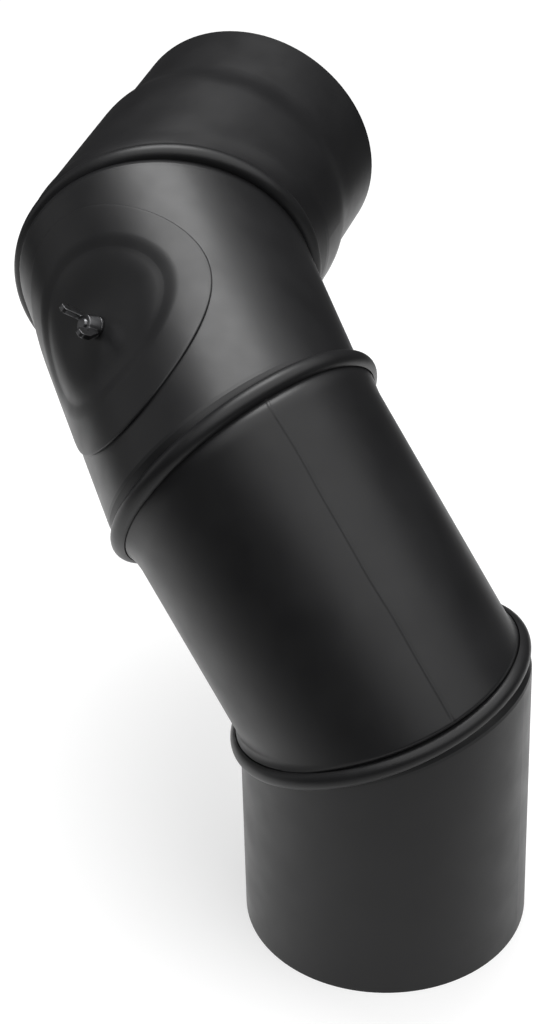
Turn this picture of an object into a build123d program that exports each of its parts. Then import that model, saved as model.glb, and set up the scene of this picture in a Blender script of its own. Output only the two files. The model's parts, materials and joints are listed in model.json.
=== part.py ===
from build123d import *

import os
from math import cos, radians, sin, sqrt

# Tube sizes in millimetres, shared by all four segments
bore_radius = 75.0
wall = 2.0
tube_radius = bore_radius + wall

# Joint planes: slant against the tube axis, and shift of the joint circle towards the short side
mitre_angle = 21.5
ring_offset = 3.3

# Axis lengths of the segments, from joint plane to joint plane or to the open end
lower_length = 146.3
lower_middle_length = 143.6
door_segment_length = 137.2
spigot_segment_length = 143.0

# Swivel of each joint away from its sharpest bend, in degrees
lower_swivel = -35.8
middle_swivel = -52.6
upper_swivel = -23.0

# Rolled bead of a swivel joint: half-round height over the tube, section, and opening for the inner tube
bead_rise = 7.2
bead_radius = 5.2
lip_rise = 3.0
foot_height = 1.6
crown_radius = tube_radius + bead_rise
bead_middle = crown_radius - bead_radius
lip_radius = tube_radius + lip_rise

# Turned-out edge that runs in the bead, and its clearances
swivel_clearance = 0.6
edge_clearance = 0.5
edge_radius = crown_radius - wall - edge_clearance

# Draw-in of the slanted tube at a bead: depth below the joint plane, and length
bead_depth = 4.4
bead_draw_length = 6.0
bead_draw_steps = 3

# Draw-in of the slanted tube in front of a turned-out edge
neck_depth = 6.5
neck_draw_length = 20.0
neck_draw_steps = 8

# Socket at the lower end, widened for the pipe below
socket_depth = 60.0
socket_widening = 0.8
socket_radius = bore_radius + socket_widening

# Spigot, made to slide into the bore of the next pipe
spigot_clearance = 1.6
spigot_length = 41.0
shoulder_length = 26.0
spigot_radius = bore_radius - spigot_clearance

# Weld seam on the long side of the lower middle segment
seam_width = 3.0
seam_height = 0.4
seam_overrun = 6.0

# Door: place along the segment, turn about its axis, cover and pressed-in field
door_place = 72.5
door_turn = 3.4
cover_half_length = 69.5
cover_half_width = 64.0
cover_sheet = 1.5
field_half_length = 48.0
field_half_width = 52.8
field_depth = 6.5
field_slope_length = 0.877
field_slope_width = 3.0
rim_bend_inside = 5.5
floor_bend_inside = 2.0
field_clearance = 4.5
opening_half_length = field_half_length + field_clearance
opening_half_width = field_half_width + field_clearance

# Bolt and clamp bar
bolt_diameter = 6.0
bolt_hole_clearance = 0.3
bolt_overhang = 0.9
head_radius = 8.0
head_height = 3.0
head_shoulder = 0.8
square_side = 6.0
square_clearance = 0.1
bar_width = 20.0
bar_thickness = 2.5
bar_drop = 9.0
bar_margin = 1.0
bar_seat = 10.0
bar_slope = 7.0

# Washer and wing nut
washer_radius = 6.0
washer_thickness = 1.6
thread_clearance = 0.05
hub_base_radius = 6.3
hub_top_radius = 5.2
hub_height = 7.5
wing_span = 28.0
wing_height = 16.5
wing_tip_width = 6.0
wing_foot_height = 1.2
wing_foot_reach = 2.0
wing_thickness = 3.0
wing_round = 2.2
wing_turn = 12.0

# Overrun of tools past the faces that they cut
overrun = 1.0


def reflected(direction, normal):
    return normal * (2 * direction.dot(normal)) - direction


def in_plane(direction, normal):
    return (direction - normal * direction.dot(normal)).normalized()


def swivelled(direction, normal, angle):
    return direction.rotate(Axis((0, 0, 0), normal), angle)


# Joint normals and tube axes from the lower end upwards
mitre = radians(mitre_angle)
axis_1 = Vector(0, 0, 1)
normal_1 = Vector(-sin(mitre), 0, cos(mitre))
axis_2 = swivelled(reflected(axis_1, normal_1), normal_1, lower_swivel)
normal_2 = reflected(normal_1, axis_2)
axis_3 = swivelled(reflected(axis_2, normal_2), normal_2, middle_swivel)
normal_3 = reflected(normal_2, axis_3)
axis_4 = swivelled(reflected(axis_3, normal_3), normal_3, upper_swivel)

# Joint circle centres, and the points where the tube axes cross the joint planes
start_1 = Vector(0, 0, 0)
ring_1 = start_1 + axis_1 * lower_length - in_plane(axis_1, normal_1) * ring_offset
start_2 = ring_1 - in_plane(axis_2, normal_1) * ring_offset
ring_2 = start_2 + axis_2 * lower_middle_length - in_plane(axis_2, normal_2) * ring_offset
start_3 = ring_2 - in_plane(axis_3, normal_2) * ring_offset
ring_3 = start_3 + axis_3 * door_segment_length - in_plane(axis_3, normal_3) * ring_offset
start_4 = ring_3 - in_plane(axis_4, normal_3) * ring_offset

# Long sides of the two middle segments
long_side_2 = in_plane(normal_1, axis_2)
long_side_3 = in_plane(normal_2, axis_3)

# Half-lengths of the drawn-in sections: just inside the foot of a bead, and free in the mouth of one
bead_foot_inset = 0.6
bead_foot_radius = bead_middle + sqrt(bead_radius**2 - bead_depth**2) - bead_foot_inset
neck_half_length = lip_radius - swivel_clearance


def bead_end(ring, outward):
    return (ring, outward, bead_depth, bead_depth, bead_draw_length, bead_draw_steps, bead_foot_radius)


def edge_end(ring, outward):
    return (ring, outward, 0, neck_depth, neck_draw_length, neck_draw_steps, neck_half_length)


def segment_solid(start, direction, low, high, ends, radius):
    """Round bar along a tube axis, its slanted section drawn in lengthwise at each joint."""
    inset = tube_radius - radius
    with BuildPart() as solid:
        with BuildSketch(Plane(origin=start + direction * low, z_dir=direction)):
            Circle(radius)
        extrude(amount=high - low)
        for ring, outward, end_depth, draw_depth, draw_length, steps, half_length in ends:
            cut = Plane(origin=ring - outward * (draw_depth + draw_length), z_dir=outward)
            split(bisect_by=cut, keep=Keep.BOTTOM)
        for ring, outward, end_depth, draw_depth, draw_length, steps, half_length in ends:
            full_length = radius / abs(direction.dot(outward))
            drawn_length = half_length - inset
            depths = [(draw_depth + draw_length * step / steps, step / steps) for step in range(steps + 1)]
            if end_depth < draw_depth:
                depths.insert(0, (end_depth, 0))
            for depth, share in depths:
                ease = share * share * (3 - 2 * share)
                middle = ring - outward * depth
                crossing = start + direction * ((middle - start).dot(outward) / direction.dot(outward))
                place = Plane(
                    origin=middle + (crossing - middle) * ease,
                    x_dir=in_plane(direction, outward),
                    z_dir=outward,
                )
                with BuildSketch(place):
                    Ellipse(drawn_length + (full_length - drawn_length) * ease, radius)
            loft(ruled=True)
    return solid.part


def profile_plane(ring, direction, rise):
    """Plane through the joint axis: across is the radius, upwards is the rise."""
    across = in_plane(direction, rise)
    return Plane(origin=ring, x_dir=across, z_dir=across.cross(rise))


def bead_ring(ring, direction, outward):
    """Rolled bead at the end of a segment, open towards the joint axis for the turned-out edge."""
    mouth_width = lip_radius - bead_middle + bead_radius
    with BuildPart() as ring_part:
        with BuildSketch(profile_plane(ring, direction, -outward)):
            with Locations((bead_middle, 0)):
                Circle(bead_radius)
                Circle(bead_radius - wall, mode=Mode.SUBTRACT)
            with Locations((lip_radius, foot_height)):
                Rectangle(
                    mouth_width, bead_radius + foot_height, align=(Align.MAX, Align.MAX), mode=Mode.SUBTRACT
                )
            with Locations((bore_radius, 0)):
                Rectangle(
                    bead_radius, 2 * bead_radius, align=(Align.MAX, Align.CENTER), mode=Mode.SUBTRACT
                )
        revolve(axis=Axis(ring, outward))
    return ring_part.part


def turned_edge(ring, outward, direction):
    """Flat turned-out edge at the end of a segment that runs inside a neighbour's bead."""
    with BuildPart() as edge_part:
        with BuildSketch(
            Plane(origin=ring - outward * wall / 2, x_dir=in_plane(direction, outward), z_dir=outward)
        ):
            Circle(edge_radius)
            Ellipse(neck_half_length - wall, bore_radius, mode=Mode.SUBTRACT)
        extrude(amount=wall)
    return edge_part.part


# Lower segment: socket on the floor, bead on top
lower_ends = [bead_end(ring_1, normal_1)]
lower_top = 2 * lower_length
lower_outside = segment_solid(start_1, axis_1, 0, lower_top, lower_ends, tube_radius)
lower_inside = segment_solid(start_1, axis_1, -overrun, lower_top, lower_ends, bore_radius)
with BuildPart() as lower_segment:
    add(lower_outside)
    add(lower_inside, mode=Mode.SUBTRACT)
    add(bead_ring(ring_1, axis_1, normal_1))
    with BuildSketch(Plane.XY):
        Circle(socket_radius)
    extrude(amount=socket_depth, mode=Mode.SUBTRACT)
lower_segment.part.label = "lower_segment"

# Lower middle segment: a turned-out edge at both ends, weld seam on its long side
lower_middle_ends = [edge_end(ring_1, -normal_1), edge_end(ring_2, normal_2)]
lower_middle_top = lower_middle_length + tube_radius
lower_middle_outside = segment_solid(
    start_2, axis_2, -tube_radius, lower_middle_top, lower_middle_ends, tube_radius
)
lower_middle_inside = segment_solid(
    start_2, axis_2, -tube_radius, lower_middle_top, lower_middle_ends, bore_radius
)
seam_foot = start_2 - axis_2 * seam_overrun + long_side_2 * (tube_radius - seam_height)
with BuildPart() as lower_middle_segment:
    add(lower_middle_outside)
    add(turned_edge(ring_1, -normal_1, axis_2))
    add(turned_edge(ring_2, normal_2, axis_2))
    add(lower_middle_inside, mode=Mode.SUBTRACT)
    with BuildSketch(Plane(origin=seam_foot, x_dir=long_side_2, z_dir=axis_2)):
        Rectangle(4 * seam_height, seam_width)
    extrude(amount=lower_middle_length + 2 * seam_overrun)
lower_middle_segment.part.label = "lower_middle_segment"

# Door segment: a bead at both ends, door opening on its long side
door_middle = start_3 + axis_3 * door_place
door_out = swivelled(long_side_3, axis_3, door_turn)
door_plane = Plane(origin=door_middle, x_dir=axis_3, z_dir=door_out)
door_ends = [bead_end(ring_2, -normal_2), bead_end(ring_3, normal_3)]
door_top = door_segment_length + tube_radius
door_outside = segment_solid(start_3, axis_3, -tube_radius, door_top, door_ends, tube_radius)
door_inside = segment_solid(start_3, axis_3, -tube_radius, door_top, door_ends, bore_radius)
with BuildPart() as door_segment:
    add(door_outside)
    add(door_inside, mode=Mode.SUBTRACT)
    add(bead_ring(ring_2, axis_3, -normal_2))
    add(bead_ring(ring_3, axis_3, normal_3))
    with BuildSketch(door_plane):
        Ellipse(opening_half_length, opening_half_width)
    extrude(amount=2 * tube_radius, mode=Mode.SUBTRACT)
door_segment.part.label = "door_segment"

# Spigot segment: a turned-out edge below, soft shoulder and narrower straight end
shoulder_end = spigot_segment_length - spigot_length
shoulder_start = shoulder_end - shoulder_length
shoulder_middle = (shoulder_start + shoulder_end) / 2
spigot_inside = spigot_radius - wall
spigot_ends = [edge_end(ring_3, -normal_3)]
upper_outside = segment_solid(start_4, axis_4, -tube_radius, shoulder_start, spigot_ends, tube_radius)
upper_inside = segment_solid(start_4, axis_4, -tube_radius, shoulder_start, spigot_ends, bore_radius)
spigot_across = in_plane(normal_3, axis_4)
with BuildPart() as spigot_segment:
    add(upper_outside)
    add(turned_edge(ring_3, -normal_3, axis_4))
    add(upper_inside, mode=Mode.SUBTRACT)
    with BuildSketch(Plane(origin=start_4, x_dir=spigot_across, z_dir=spigot_across.cross(axis_4))):
        with BuildLine():
            Bezier(
                (tube_radius, shoulder_start),
                (tube_radius, shoulder_middle),
                (spigot_radius, shoulder_middle),
                (spigot_radius, shoulder_end),
            )
            Polyline(
                (spigot_radius, shoulder_end),
                (spigot_radius, spigot_segment_length),
                (spigot_inside, spigot_segment_length),
                (spigot_inside, shoulder_end),
            )
            Bezier(
                (spigot_inside, shoulder_end),
                (spigot_inside, shoulder_middle),
                (bore_radius, shoulder_middle),
                (bore_radius, shoulder_start),
            )
            Line((bore_radius, shoulder_start), (tube_radius, shoulder_start))
        make_face()
    revolve(axis=Axis(start_4, axis_4))
spigot_segment.part.label = "spigot_segment"

# Door cover: oval sheet bent to the tube, with a pressed-in field that hangs in the opening
cover_outside = tube_radius + cover_sheet
floor_outside = cover_outside - field_depth
floor_inside = floor_outside - cover_sheet
rim_height = sqrt(cover_outside**2 - field_half_width**2)
field_foot = rim_height - field_depth - cover_sheet
field_top = cover_outside + field_depth
tube_section = Plane(origin=door_middle - axis_3 * 2 * cover_half_length, z_dir=axis_3)
section_length = 4 * cover_half_length


def field_block(shift):
    """Block with the slanted wall of the pressed field, shifted outwards by a sheet thickness."""
    length_shift = shift * sqrt(1 + field_slope_length**2)
    width_shift = shift * sqrt(1 + field_slope_width**2)
    with BuildPart() as block:
        for height in (field_foot, field_top):
            with BuildSketch(door_plane.offset(height)):
                Ellipse(
                    field_half_length + field_slope_length * (height - cover_outside) + length_shift,
                    field_half_width + field_slope_width * (height - rim_height) + width_shift,
                )
        loft(ruled=True)
    return block.part


def field_edges(shape, round_radius):
    """Edges where the wall of the pressed field meets a round of the tube axis."""
    found = []
    for edge in shape.edges():
        spot = door_plane.to_local_coords(edge.position_at(0.3))
        within = (spot.X / opening_half_length) ** 2 + (spot.Y / opening_half_width) ** 2 < 1
        on_round = abs(sqrt(spot.Y**2 + spot.Z**2) - round_radius) < cover_sheet / 20
        if within and on_round and spot.Z > 0:
            found.append(edge)
    return found


with BuildPart() as field_space:
    add(field_block(0))
    with BuildSketch(tube_section):
        Circle(floor_outside)
    extrude(amount=section_length, mode=Mode.SUBTRACT)

with BuildPart() as cover_space:
    with BuildSketch(tube_section):
        Circle(tube_radius)
    extrude(amount=section_length)
    add(field_block(cover_sheet), mode=Mode.SUBTRACT)
    with BuildSketch(tube_section):
        Circle(floor_inside)
    extrude(amount=section_length)
    fillet(field_edges(cover_space.part, tube_radius), rim_bend_inside)
    fillet(field_edges(cover_space.part, floor_inside), floor_bend_inside + cover_sheet)

with BuildPart() as door_cover:
    with BuildSketch(door_plane):
        Ellipse(cover_half_length, cover_half_width)
    extrude(amount=2 * tube_radius)
    with BuildSketch(tube_section):
        Circle(cover_outside)
    extrude(amount=section_length, mode=Mode.INTERSECT)
    add(field_space.part, mode=Mode.SUBTRACT)
    fillet(field_edges(door_cover.part, cover_outside), rim_bend_inside + cover_sheet)
    fillet(field_edges(door_cover.part, floor_outside), floor_bend_inside)
    add(cover_space.part, mode=Mode.SUBTRACT)
    with BuildSketch(door_plane):
        Circle(bolt_diameter / 2 + bolt_hole_clearance)
    extrude(amount=2 * tube_radius, mode=Mode.SUBTRACT)
door_cover.part.label = "door_cover"

# Clamp bar: strip inside the tube, its raised ends against the wall beside the opening
bolt_plane = Plane(origin=door_middle, x_dir=axis_3, z_dir=axis_3.cross(door_out))
bar_top = bore_radius - bar_drop
bar_bottom = bar_top - bar_thickness
seat_start = opening_half_length + bar_margin
bar_end = seat_start + bar_seat
slope_start = seat_start - bar_slope
with BuildPart() as clamp_bar:
    with BuildSketch(bolt_plane):
        with BuildLine():
            top_line = Polyline(
                (-bar_end, bore_radius),
                (-seat_start, bore_radius),
                (-slope_start, bar_top),
                (slope_start, bar_top),
                (seat_start, bore_radius),
                (bar_end, bore_radius),
            )
            offset(top_line, amount=bar_thickness, side=Side.RIGHT, kind=Kind.INTERSECTION)
        make_face()
    extrude(amount=bar_width / 2, both=True)
    with BuildSketch(tube_section):
        Circle(bore_radius)
    extrude(amount=section_length, mode=Mode.INTERSECT)
    with BuildSketch(door_plane):
        Rectangle(square_side + 2 * square_clearance, square_side + 2 * square_clearance)
    extrude(amount=2 * tube_radius, mode=Mode.SUBTRACT)
clamp_bar.part.label = "clamp_bar"

# Carriage bolt: round head and square neck in the clamp bar, plain shank through the cover
bolt_radius = bolt_diameter / 2
nut_foot = floor_outside + washer_thickness
bolt_end = nut_foot + hub_height + bolt_overhang
bolt_axis = Axis(door_middle, door_out)
with BuildPart() as carriage_bolt:
    with BuildSketch(bolt_plane):
        with BuildLine():
            TangentArc(
                (0, bar_bottom - head_height), (head_radius, bar_bottom - head_shoulder), tangent=(1, 0)
            )
            Polyline(
                (head_radius, bar_bottom - head_shoulder),
                (head_radius, bar_bottom),
                (bolt_radius, bar_bottom),
                (bolt_radius, bolt_end),
                (0, bolt_end),
                (0, bar_bottom - head_height),
            )
        make_face()
    revolve(axis=bolt_axis)
    with BuildSketch(door_plane.offset(bar_bottom)):
        Rectangle(square_side, square_side)
    extrude(amount=bar_thickness)
carriage_bolt.part.label = "carriage_bolt"

# Washer on the cover
with BuildPart() as washer:
    with BuildSketch(door_plane.offset(floor_outside)):
        Circle(washer_radius)
        Circle(bolt_radius + bolt_hole_clearance, mode=Mode.SUBTRACT)
    extrude(amount=washer_thickness)
washer.part.label = "washer"

# Wing nut: round hub and two raised wings
wing_heading = swivelled(axis_3, door_out, wing_turn)
wing_plane = Plane(
    origin=door_middle + door_out * nut_foot,
    x_dir=wing_heading,
    z_dir=wing_heading.cross(door_out),
)
wing_end = wing_span / 2
with BuildPart() as wing_nut:
    with BuildSketch(wing_plane):
        with BuildLine():
            Polyline(
                (0, 0),
                (hub_base_radius, 0),
                (hub_top_radius, hub_height),
                (0, hub_height),
                close=True,
            )
        make_face()
    revolve(axis=bolt_axis)
    with BuildSketch(wing_plane) as wing_outline:
        with BuildLine():
            Polyline(
                (bolt_radius, wing_foot_height),
                (hub_base_radius + wing_foot_reach, 2 * wing_foot_height),
                (wing_end, wing_height - wing_tip_width),
                (wing_end, wing_height),
                (wing_end - wing_tip_width, wing_height),
                (hub_top_radius, hub_height - wing_foot_height),
                (bolt_radius, hub_height - wing_foot_height),
                close=True,
            )
        make_face()
        fillet(wing_outline.vertices().sort_by(Axis.Y)[-3:], wing_round)
        mirror(about=Plane.YZ)
    extrude(amount=wing_thickness / 2, both=True)
    with BuildSketch(Plane(origin=wing_plane.origin, z_dir=door_out)):
        Circle(bolt_radius + thread_clearance)
    extrude(amount=wing_height, mode=Mode.SUBTRACT)
wing_nut.part.label = "wing_nut"

os.makedirs("parts", exist_ok=True)
export_step(lower_segment.part, "parts/lower_segment.step")
export_step(lower_middle_segment.part, "parts/lower_middle_segment.step")
export_step(door_segment.part, "parts/door_segment.step")
export_step(spigot_segment.part, "parts/spigot_segment.step")
export_step(door_cover.part, "parts/door_cover.step")
export_step(clamp_bar.part, "parts/clamp_bar.step")
export_step(carriage_bolt.part, "parts/carriage_bolt.step")
export_step(washer.part, "parts/washer.step")
export_step(wing_nut.part, "parts/wing_nut.step")
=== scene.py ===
import json
from math import asin, cos, pi, radians, sin

import bmesh
import bpy
from mathutils import Matrix, Vector


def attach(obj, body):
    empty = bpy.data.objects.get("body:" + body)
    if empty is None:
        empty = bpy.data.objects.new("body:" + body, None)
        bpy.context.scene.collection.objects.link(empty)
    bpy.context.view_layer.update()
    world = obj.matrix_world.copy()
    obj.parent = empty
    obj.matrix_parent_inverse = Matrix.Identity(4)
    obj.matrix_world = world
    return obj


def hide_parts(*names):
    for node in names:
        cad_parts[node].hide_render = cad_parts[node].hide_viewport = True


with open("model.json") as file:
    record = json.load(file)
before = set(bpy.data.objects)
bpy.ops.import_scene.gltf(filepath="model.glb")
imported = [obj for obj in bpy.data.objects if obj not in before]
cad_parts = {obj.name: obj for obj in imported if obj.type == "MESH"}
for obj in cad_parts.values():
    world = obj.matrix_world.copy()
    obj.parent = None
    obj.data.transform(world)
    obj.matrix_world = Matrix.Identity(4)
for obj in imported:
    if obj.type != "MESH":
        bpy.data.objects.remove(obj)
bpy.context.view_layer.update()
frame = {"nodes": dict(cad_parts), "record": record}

scene = bpy.context.scene
scene.view_settings.view_transform = "Standard"

# Camera, in metres: its place, its right, up and backward directions, and its lens in the image's pixels
IMAGE_HEIGHT = 1024
CAMERA_PLACE = Vector((0.46061, -1.17956, 1.16181))
CAMERA_RIGHT = Vector((0.920337, 0.390491, -0.022286))
CAMERA_UP = Vector((-0.209278, 0.539778, 0.815379))
CAMERA_BACK = Vector((0.330427, -0.745759, 0.578499))
FOCAL_PIXELS = 3070.8
MIDDLE_OFFSET = (-1.63, -3.24)
SENSOR_HEIGHT = 36.0

# Studio light: each softbox has the direction and distance from the object's middle, a radius and a radiance
STUDIO_MIDDLE = Vector((-0.05, 0.06, 0.2))
SOFTBOXES = (
    ("softbox_wide", Vector((0.340, -0.077, 0.937)), 2.2, 2.44, 1.65),
    ("softbox_back", Vector((-0.192, 0.291, 0.937)), 2.5, 0.85, 6.5),
    ("softbox_left", Vector((-0.97, -0.17, 0.25)), 2.5, 0.9, 0.4),
)
ROOM_LEVEL = 0.06

# Floor: a pale sheet round the object, lifted to white for the camera, and near the object a painted glow
# that only reflections see, which brightens the object's shadow in them
FLOOR_COLOUR = (0.46, 0.46, 0.46, 1.0)
ROOM_FLOOR_COLOUR = (0.05, 0.05, 0.05, 1.0)
FLOOR_ROUGHNESS = 0.9
FLOOR_SPECULAR = 0.1
FLOOR_SIZE = 40.0
SHEET_MIDDLE = Vector((-0.15, -0.05, 0.0))
SHEET_NEAR = 0.6
SHEET_FAR = 0.9
CAMERA_LIFT = 0.62
CAMERA_LIFT_FAR = 1.0
# Painted light: a glow on the floor round this point, seen only by reflection rays, which brightens the
# reflected floor and its shadow
MIRROR_MIDDLE = Vector((-0.35, 0.25, 0.0))
MIRROR_NEAR = 0.35
MIRROR_FAR = 0.7
PAINTED_MIRROR_GLOW = 0.7

# Paint and metal
PAINT_DARK = (0.0072, 0.0072, 0.0078, 1.0)
PAINT_LIGHT = (0.0105, 0.0105, 0.0112, 1.0)
PAINT_SPECULAR = 0.4
FASTENER_COLOUR = (0.12, 0.12, 0.124, 1.0)
STEEL_COLOUR = (0.32, 0.32, 0.33, 1.0)
PIPE_ROUGHNESS = (0.36, 0.44)
DOOR_ROUGHNESS = (0.38, 0.46)
FASTENER_ROUGHNESS = (0.27, 0.37)
STEEL_ROUGHNESS = (0.35, 0.5)
CLOUD_SCALE = 22.0
GLOSS_SCALE = 45.0
GRAIN_SCALE = 1100.0
METAL_SCALE = 400.0
GRAIN_STRENGTH = 0.10
METAL_STRENGTH = 0.12
BUMP_DISTANCE = 0.0002
NOISE_LOW = 0.3
NOISE_HIGH = 0.7

# Tube of the lower middle segment, in metres
TUBE_RADIUS = 0.077
TUBE_WALL = 0.002
RING_OFFSET = 0.0033
EDGE_RADIUS = 0.0817
EDGE_HALF = 0.001
NECK_RADIUS = 0.0794
NECK_DEPTH = 0.0054
LOWER_DRAW = 0.004
UPPER_DRAW = 0.012
DRAW_ROWS = 20
STRAIGHT_ROWS = 40
TUBE_COLUMNS = 180
SEAM_COLUMNS = 17
SEAM_HALF_WIDTH = 0.0014
SEAM_HEIGHT = 0.0003
SEAM_WAVE = 0.0003
# Size, turns along the tube in radians, and start of each wave of the seam
SEAM_WAVES = ((1.0, 21, 0), (0.6, 47, 1))

# Door cover, in metres
COVER_OUTSIDE = 0.0785
COVER_SHEET = 0.0015
COVER_HALF = (0.0695, 0.0640)
FIELD_HALF = (0.0490, 0.0530)
FLOOR_HALF = (0.0400, 0.0460)
FIELD_SHIFT = 0.0015
FIELD_EDGE_DEPTH = 0.0015
FIELD_DEPTH = 0.0065
DISH_START = 0.12
BOLT_HOLE = 0.0033
NUT_FOOT = 0.0736
COVER_EDGE_ROUND = 0.0006
COVER_COLUMNS = 160
FLOOR_ROWS = 16
SLOPE_ROWS = 18
FLANGE_ROWS = 12
ROUND_ROWS = 5

# Bolt, washer and wing nut, in metres, with heights from the middle of the tube
WASHER_RADIUS = 0.006
WASHER_THICKNESS = 0.0016
WASHER_ROUND = 0.0003
BAR_BOTTOM = 0.0635
BAR_TOP = 0.066
HEAD_RADIUS = 0.008
HEAD_HEIGHT = 0.003
HEAD_SHOULDER = 0.0008
HEAD_ROWS = 8
BOLT_RADIUS = 0.003
SHANK_RADIUS = 0.0029
BOLT_END = 0.0820
THREAD_START = 0.0700
THREAD_PITCH = 0.001
THREAD_DEPTH = 0.0005
THREAD_ROWS = 10
THREAD_CHAMFER = 0.0008
BOLT_COLUMNS = 64
CAST_VOXEL = 0.00028
CAST_PASSES = 8

SHARP_ANGLE = radians(35)


def joint(name):
    """Place and direction of a joint of the frame."""
    found = next(entry for entry in frame["record"]["behaviour"]["joints"] if entry["name"] == name)
    return Vector(found["pos_m"]), Vector(found["axis"])


def smooth(share):
    share = min(max(share, 0.0), 1.0)
    return share * share * (3 - 2 * share)


def mix(low, high, share):
    return low + (high - low) * share


def new_material(name):
    material = bpy.data.materials.new(name)
    material.use_nodes = True
    nodes = material.node_tree.nodes
    shader = next(node for node in nodes if node.type == "BSDF_PRINCIPLED")
    return material, nodes, material.node_tree.links, shader


def noise(nodes, links, place, scale, detail, roughness=0.5):
    texture = nodes.new("ShaderNodeTexNoise")
    texture.inputs["Scale"].default_value = scale
    texture.inputs["Detail"].default_value = detail
    texture.inputs["Roughness"].default_value = roughness
    links.new(place, texture.inputs["Vector"])
    return texture.outputs["Fac"]


def spread(nodes, links, value, low, high):
    span = nodes.new("ShaderNodeMapRange")
    span.inputs["From Min"].default_value = NOISE_LOW
    span.inputs["From Max"].default_value = NOISE_HIGH
    span.inputs["To Min"].default_value = low
    span.inputs["To Max"].default_value = high
    links.new(value, span.inputs["Value"])
    return span.outputs["Result"]


def object_place(nodes):
    return nodes.new("ShaderNodeTexCoord").outputs["Object"]


def paint(name, roughness):
    """Heat-proof satin paint: fine sprayed grain and slow changes of tone and gloss."""
    material, nodes, links, shader = new_material(name)
    place = object_place(nodes)
    cloud = noise(nodes, links, place, CLOUD_SCALE, 4.0)
    tone = nodes.new("ShaderNodeMix")
    tone.data_type = "RGBA"
    tone.inputs["A"].default_value = PAINT_DARK
    tone.inputs["B"].default_value = PAINT_LIGHT
    links.new(cloud, tone.inputs["Factor"])
    links.new(tone.outputs["Result"], shader.inputs["Base Color"])
    shader.inputs["Specular IOR Level"].default_value = PAINT_SPECULAR
    gloss = noise(nodes, links, place, GLOSS_SCALE, 3.0)
    links.new(spread(nodes, links, gloss, *roughness), shader.inputs["Roughness"])
    grain = noise(nodes, links, place, GRAIN_SCALE, 3.0, 0.6)
    bump = nodes.new("ShaderNodeBump")
    bump.inputs["Strength"].default_value = GRAIN_STRENGTH
    bump.inputs["Distance"].default_value = BUMP_DISTANCE
    links.new(grain, bump.inputs["Height"])
    links.new(bump.outputs["Normal"], shader.inputs["Normal"])
    return material


def plain_metal(name, colour, roughness):
    material, nodes, links, shader = new_material(name)
    place = object_place(nodes)
    shader.inputs["Base Color"].default_value = colour
    shader.inputs["Metallic"].default_value = 1.0
    gloss = noise(nodes, links, place, METAL_SCALE, 3.0)
    links.new(spread(nodes, links, gloss, *roughness), shader.inputs["Roughness"])
    bump = nodes.new("ShaderNodeBump")
    bump.inputs["Strength"].default_value = METAL_STRENGTH
    bump.inputs["Distance"].default_value = BUMP_DISTANCE
    links.new(gloss, bump.inputs["Height"])
    links.new(bump.outputs["Normal"], shader.inputs["Normal"])
    return material


def arithmetic(nodes, links, operation, first, second):
    node = nodes.new("ShaderNodeMath")
    node.operation = operation
    for socket, value in zip(node.inputs, (first, second)):
        if isinstance(value, float):
            socket.default_value = value
        else:
            links.new(value, socket)
    return node.outputs["Value"]


def beyond(nodes, links, middle, near, far):
    """Node value that goes from 0 to 1 between two distances from a point of the floor."""
    distance = nodes.new("ShaderNodeVectorMath")
    distance.operation = "DISTANCE"
    distance.inputs[1].default_value = middle
    links.new(nodes.new("ShaderNodeNewGeometry").outputs["Position"], distance.inputs[0])
    span = nodes.new("ShaderNodeMapRange")
    span.interpolation_type = "SMOOTHSTEP"
    span.inputs["From Min"].default_value = near
    span.inputs["From Max"].default_value = far
    links.new(distance.outputs["Value"], span.inputs["Value"])
    return span.outputs["Result"]


def floor_look():
    """Pale sheet in a dark room, lifted to white for the camera, and near the object a painted glow that
    only reflections see.
    """
    material, nodes, links, shader = new_material("floor_white")
    shader.inputs["Roughness"].default_value = FLOOR_ROUGHNESS
    shader.inputs["Specular IOR Level"].default_value = FLOOR_SPECULAR
    off_sheet = beyond(nodes, links, SHEET_MIDDLE, SHEET_NEAR, SHEET_FAR)
    colour = nodes.new("ShaderNodeMix")
    colour.data_type = "RGBA"
    colour.inputs["A"].default_value = FLOOR_COLOUR
    colour.inputs["B"].default_value = ROOM_FLOOR_COLOUR
    links.new(off_sheet, colour.inputs["Factor"])
    links.new(colour.outputs["Result"], shader.inputs["Base Color"])

    rays = nodes.new("ShaderNodeLightPath").outputs
    camera_far = arithmetic(nodes, links, "MULTIPLY", off_sheet, CAMERA_LIFT_FAR - CAMERA_LIFT)
    camera_lift = arithmetic(nodes, links, "ADD", camera_far, CAMERA_LIFT)
    camera_part = arithmetic(nodes, links, "MULTIPLY", rays["Is Camera Ray"], camera_lift)
    # Painted light: a glow near the object that only glossy and transmission rays see, brightening the
    # floor's shadow in reflections
    fade = beyond(nodes, links, MIRROR_MIDDLE, MIRROR_NEAR, MIRROR_FAR)
    near = arithmetic(nodes, links, "SUBTRACT", 1.0, fade)
    painted_mirror_glow = arithmetic(nodes, links, "MULTIPLY", near, PAINTED_MIRROR_GLOW)
    mirrored = arithmetic(nodes, links, "MAXIMUM", rays["Is Glossy Ray"], rays["Is Transmission Ray"])
    mirror_part = arithmetic(nodes, links, "MULTIPLY", mirrored, painted_mirror_glow)
    shader.inputs["Emission Color"].default_value = (1.0, 1.0, 1.0, 1.0)
    strength = arithmetic(nodes, links, "ADD", camera_part, mirror_part)
    links.new(strength, shader.inputs["Emission Strength"])
    return material


def dress(node, material):
    for slot in frame["nodes"][node].material_slots:
        slot.material = material


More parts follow.
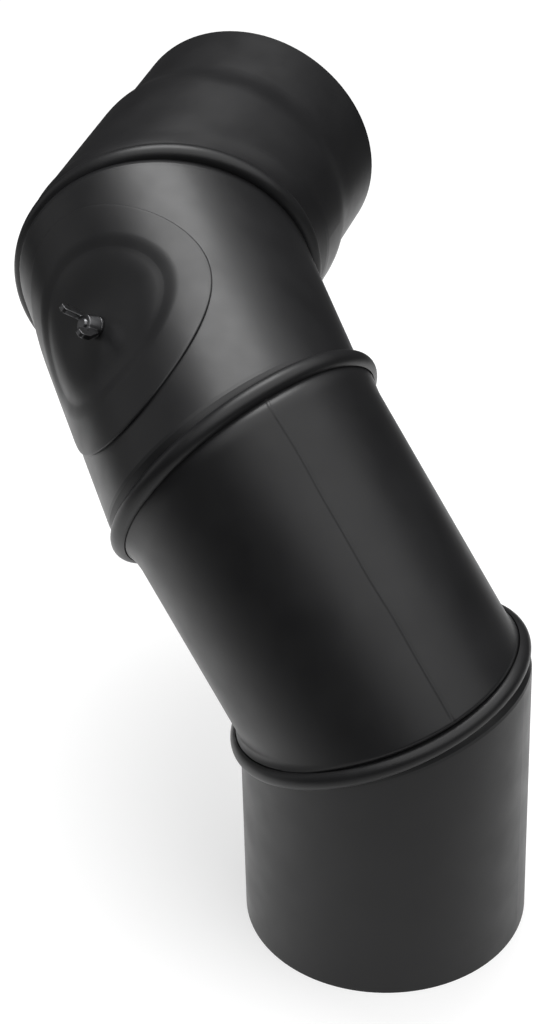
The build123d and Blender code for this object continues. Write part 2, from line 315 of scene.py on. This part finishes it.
def closed_rings(name, rings, material, capped=False):
    """Object from closed rings of points, the last ring joined to the first, or both capped."""
    columns = len(rings[0])
    points = [point for ring in rings for point in ring]
    faces = []
    if capped:
        faces.append(tuple(range(columns)))
        faces.append(tuple(range(len(points) - columns, len(points))))
    for row in range(len(rings) - capped):
        above = (row + 1) % len(rings)
        for column in range(columns):
            beside = (column + 1) % columns
            faces.append(
                (
                    row * columns + column,
                    row * columns + beside,
                    above * columns + beside,
                    above * columns + column,
                )
            )
    mesh = bpy.data.meshes.new(name)
    mesh.from_pydata(points, [], faces)
    shape = bmesh.new()
    shape.from_mesh(mesh)
    bmesh.ops.recalc_face_normals(shape, faces=shape.faces)
    shape.to_mesh(mesh)
    shape.free()
    mesh.shade_smooth()
    mesh.set_sharp_from_angle(angle=SHARP_ANGLE)
    mesh.materials.append(material)
    piece = bpy.data.objects.new(name, mesh)
    scene.collection.objects.link(piece)
    return piece


def stand_in(piece, node, body):
    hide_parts(node)
    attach(piece, body)


def lower_middle_tube(material):
    """Welded tube between the two lower joints, drawn in softly where it enters the beads."""
    lower_ring, lower_normal = joint("lower_swivel")
    upper_ring, upper_normal = joint("middle_swivel")
    axis = (lower_normal + upper_normal).normalized()
    side = (lower_normal - axis * lower_normal.dot(axis)).normalized()
    across = axis.cross(side)
    foot = lower_ring - (axis - lower_normal * axis.dot(lower_normal)).normalized() * RING_OFFSET
    seam_angle = 2 * SEAM_HALF_WIDTH / TUBE_RADIUS
    angles = [seam_angle * (2 * step / (SEAM_COLUMNS - 1) - 1) for step in range(SEAM_COLUMNS)]
    step_angle = (2 * pi - 2 * seam_angle) / TUBE_COLUMNS
    angles += [seam_angle + step_angle * step for step in range(1, TUBE_COLUMNS)]

    def section(ring, outward, depth, draw, inset):
        drawn = min(max((depth - NECK_DEPTH) / draw, 0.0), 1.0)
        ease = drawn * (2 - drawn)
        middle = ring - outward * depth
        crossing = foot + axis * ((middle - foot).dot(outward) / axis.dot(outward))
        along = side - axis * (side.dot(outward) / axis.dot(outward))
        radius = TUBE_RADIUS - inset
        half_length = mix(NECK_RADIUS - inset, radius * along.length, ease)
        half_width = mix(NECK_RADIUS - inset, radius, ease)
        along.normalize()
        centre = middle.lerp(crossing, ease)
        return [centre + along * (half_length * cos(a)) + across * (half_width * sin(a)) for a in angles]

    def edge(ring, outward, shift):
        along = (side - outward * side.dot(outward)).normalized()
        centre = ring + outward * shift
        return [centre + (along * cos(a) + across * sin(a)) * EDGE_RADIUS for a in angles]

    def welded(ring, place):
        """Ring with the low round seam on the long side."""
        wave = SEAM_WAVE * sum(size * sin(turns * place + start) for size, turns, start in SEAM_WAVES)
        lifted = []
        for point, angle in zip(ring, angles):
            turn = angle if angle < pi else angle - 2 * pi
            away = (turn * TUBE_RADIUS - wave) / SEAM_HALF_WIDTH
            rise = SEAM_HEIGHT * (1 - away * away) ** 2 if abs(away) < 1 else 0.0
            lifted.append(point + (side * cos(angle) + across * sin(angle)) * rise)
        return lifted

    def wall(inset):
        lower = [EDGE_HALF] + [NECK_DEPTH + LOWER_DRAW * step / DRAW_ROWS for step in range(DRAW_ROWS + 1)]
        upper = [EDGE_HALF] + [NECK_DEPTH + UPPER_DRAW * step / DRAW_ROWS for step in range(DRAW_ROWS + 1)]
        foot_rings = [section(lower_ring, -lower_normal, depth, LOWER_DRAW, inset) for depth in lower]
        head_rings = [section(upper_ring, upper_normal, depth, UPPER_DRAW, inset) for depth in upper[::-1]]
        low, high = foot_rings[-1], head_rings[0]
        straight = []
        for step in range(1, STRAIGHT_ROWS):
            straight.append([a.lerp(b, step / STRAIGHT_ROWS) for a, b in zip(low, high)])
        return foot_rings + straight + head_rings

    outside = wall(0.0)
    outside = [welded(ring, row / len(outside)) for row, ring in enumerate(outside)]
    inside = wall(TUBE_WALL)
    rings = [edge(lower_ring, -lower_normal, EDGE_HALF), edge(lower_ring, -lower_normal, -EDGE_HALF)]
    rings += outside
    rings += [edge(upper_ring, upper_normal, -EDGE_HALF), edge(upper_ring, upper_normal, EDGE_HALF)]
    rings += inside[::-1]
    piece = closed_rings("lower_middle_tube", rings, material)
    stand_in(piece, "lower_middle_segment", "lower_middle")


def door_frame():
    """Middle of the tube behind the door, the tube's axis, and the ways out and across."""
    nut_place, out = joint("wing_nut_turn")
    axis = (joint("middle_swivel")[1] + joint("upper_swivel")[1]).normalized()
    return nut_place - out * NUT_FOOT, axis, out, out.cross(axis)


def pressed_cover(material):
    """Oval cover bent to the tube, with the soft pressed field and a rounded rim."""
    middle, axis, out, across = door_frame()

    def ring(half_length, half_width, shift, depth):
        points = []
        for column in range(COVER_COLUMNS):
            angle = 2 * pi * column / COVER_COLUMNS
            turn = asin(half_width * sin(angle) / COVER_OUTSIDE)
            radius = COVER_OUTSIDE - depth
            place = axis * (shift + half_length * cos(angle))
            points.append(middle + place + (across * sin(turn) + out * cos(turn)) * radius)
        return points

    def between(first, second, share):
        return [mix(a, b, share) for a, b in zip(first, second)]

    hole = (BOLT_HOLE, BOLT_HOLE, 0.0)
    floor_edge = (*FLOOR_HALF, FIELD_SHIFT)
    field_edge = (*FIELD_HALF, FIELD_SHIFT)
    rim = (*COVER_HALF, 0.0)
    rim_inside = (COVER_HALF[0] - COVER_EDGE_ROUND, COVER_HALF[1] - COVER_EDGE_ROUND, 0.0)
    profile = []
    for step in range(FLOOR_ROWS):
        share = step / FLOOR_ROWS
        depth = mix(FIELD_DEPTH, FIELD_EDGE_DEPTH, smooth((share - DISH_START) / (1 - DISH_START)))
        profile.append((between(hole, floor_edge, share), depth))
    for step in range(SLOPE_ROWS):
        rest = 1 - step / SLOPE_ROWS
        profile.append((between(field_edge, floor_edge, rest), FIELD_EDGE_DEPTH * rest * rest * (2 - rest)))
    for step in range(FLANGE_ROWS):
        profile.append((between(field_edge, rim_inside, step / FLANGE_ROWS), 0.0))
    outside = [ring(*outline, depth) for outline, depth in profile]
    for step in range(ROUND_ROWS + 1):
        bend = pi / 2 * step / ROUND_ROWS
        outline = between(rim_inside, rim, sin(bend))
        outside.append(ring(*outline, COVER_EDGE_ROUND * (1 - cos(bend))))
    inside = [ring(*rim, COVER_SHEET)]
    inside += [ring(*outline, depth + COVER_SHEET) for outline, depth in profile[::-1]]
    piece = closed_rings("pressed_cover", outside + inside, material)
    stand_in(piece, "door_cover", "door")


def turned(name, profile, material, capped=False):
    """Piece turned about the bolt's axis from heights and radii, where a radius may depend on the angle."""
    middle, axis, out, across = door_frame()
    rings = []
    for height, radius in profile:
        ring = []
        for column in range(BOLT_COLUMNS):
            angle = 2 * pi * column / BOLT_COLUMNS
            reach = radius(angle) if callable(radius) else radius
            ring.append(middle + out * height + (axis * cos(angle) + across * sin(angle)) * reach)
        rings.append(ring)
    return closed_rings(name, rings, material, capped)


def round_washer(material):
    foot = COVER_OUTSIDE - FIELD_DEPTH
    top = foot + WASHER_THICKNESS
    profile = [
        (foot, BOLT_HOLE),
        (foot, WASHER_RADIUS - WASHER_ROUND),
        (foot + WASHER_ROUND, WASHER_RADIUS),
        (top - WASHER_ROUND, WASHER_RADIUS),
        (top, WASHER_RADIUS - WASHER_ROUND),
        (top, BOLT_HOLE),
    ]
    stand_in(turned("round_washer", profile, material), "washer", "door")


def threaded_bolt(material):
    """Carriage bolt: round head, square neck in the clamp bar, and a thread up to its chamfered end."""

    def square(angle):
        return BOLT_RADIUS / max(abs(cos(angle)), abs(sin(angle)))

    def thread(height):
        def radius(angle):
            phase = (height / THREAD_PITCH - angle / (2 * pi)) % 1.0
            groove = THREAD_DEPTH * abs(2 * phase - 1)
            chamfer = max(0.0, THREAD_CHAMFER - (BOLT_END - height))
            return BOLT_RADIUS - max(groove, chamfer)

        return radius

    profile = []
    for step in range(1, HEAD_ROWS + 1):
        bend = pi / 2 * step / HEAD_ROWS
        rise = (HEAD_HEIGHT - HEAD_SHOULDER) * (1 - cos(bend))
        profile.append((BAR_BOTTOM - HEAD_HEIGHT + rise, HEAD_RADIUS * sin(bend)))
    profile += [(BAR_BOTTOM, HEAD_RADIUS), (BAR_BOTTOM, square), (BAR_TOP, square), (BAR_TOP, SHANK_RADIUS)]
    turns = (BOLT_END - THREAD_START) / THREAD_PITCH
    rows = round(turns * THREAD_ROWS)
    for row in range(rows + 1):
        height = mix(THREAD_START, BOLT_END, row / rows)
        profile.append((height, thread(height)))
    piece = turned("threaded_bolt", profile, material, capped=True)
    stand_in(piece, "carriage_bolt", "door")


def cast_nut(material):
    """Wing nut with the rounded edges of a casting, seated on the washer."""
    mesh = frame["nodes"]["wing_nut"].data.copy()
    mesh.name = "cast_nut"
    mesh.materials.clear()
    mesh.materials.append(material)
    piece = bpy.data.objects.new("cast_nut", mesh)
    scene.collection.objects.link(piece)
    remesh = piece.modifiers.new("cast", "REMESH")
    remesh.mode = "VOXEL"
    remesh.voxel_size = CAST_VOXEL
    remesh.use_smooth_shade = True
    round_off = piece.modifiers.new("round_off", "SMOOTH")
    round_off.iterations = CAST_PASSES
    stand_in(piece, "wing_nut", "nut")


pipe_paint = paint("pipe_paint", PIPE_ROUGHNESS)
door_paint = paint("door_paint", DOOR_ROUGHNESS)
fastener_black = plain_metal("fastener_black", FASTENER_COLOUR, FASTENER_ROUGHNESS)
bare_steel = plain_metal("bare_steel", STEEL_COLOUR, STEEL_ROUGHNESS)

for node in ("lower_segment", "door_segment", "spigot_segment"):
    dress(node, pipe_paint)
dress("clamp_bar", bare_steel)
lower_middle_tube(pipe_paint)
pressed_cover(door_paint)
round_washer(fastener_black)
threaded_bolt(fastener_black)
cast_nut(fastener_black)

# Floor
half = FLOOR_SIZE / 2
floor_mesh = bpy.data.meshes.new("floor")
floor_mesh.from_pydata(
    [(-half, -half, 0.0), (half, -half, 0.0), (half, half, 0.0), (-half, half, 0.0)], [], [(0, 1, 2, 3)]
)
floor = bpy.data.objects.new("floor", floor_mesh)
scene.collection.objects.link(floor)
floor_mesh.materials.append(floor_look())

# Softboxes in a dark room, two overhead and a dim one on the left
for name, heading, distance, radius, radiance in SOFTBOXES:
    lamp = bpy.data.lights.new(name, "AREA")
    lamp.shape = "DISK"
    lamp.size = 2 * radius
    lamp.energy = radiance * pi**2 * radius**2
    softbox = bpy.data.objects.new(name, lamp)
    softbox.location = STUDIO_MIDDLE + heading.normalized() * distance
    softbox.rotation_euler = heading.to_track_quat("Z", "Y").to_euler()
    scene.collection.objects.link(softbox)

world = bpy.data.worlds.new("room")
world.use_nodes = True
background = next(node for node in world.node_tree.nodes if node.type == "BACKGROUND")
background.inputs["Color"].default_value = (1.0, 1.0, 1.0, 1.0)
background.inputs["Strength"].default_value = ROOM_LEVEL
scene.world = world

# Camera
camera_data = bpy.data.cameras.new("camera")
camera_data.sensor_fit = "VERTICAL"
camera_data.sensor_height = SENSOR_HEIGHT
camera_data.lens = FOCAL_PIXELS / IMAGE_HEIGHT * SENSOR_HEIGHT
camera_data.shift_x = -MIDDLE_OFFSET[0] / IMAGE_HEIGHT
camera_data.shift_y = MIDDLE_OFFSET[1] / IMAGE_HEIGHT
camera = bpy.data.objects.new("camera", camera_data)
turn = Matrix((CAMERA_RIGHT, CAMERA_UP, CAMERA_BACK)).transposed()
camera.matrix_world = Matrix.Translation(CAMERA_PLACE) @ turn.to_4x4()
scene.collection.objects.link(camera)
scene.camera = camera
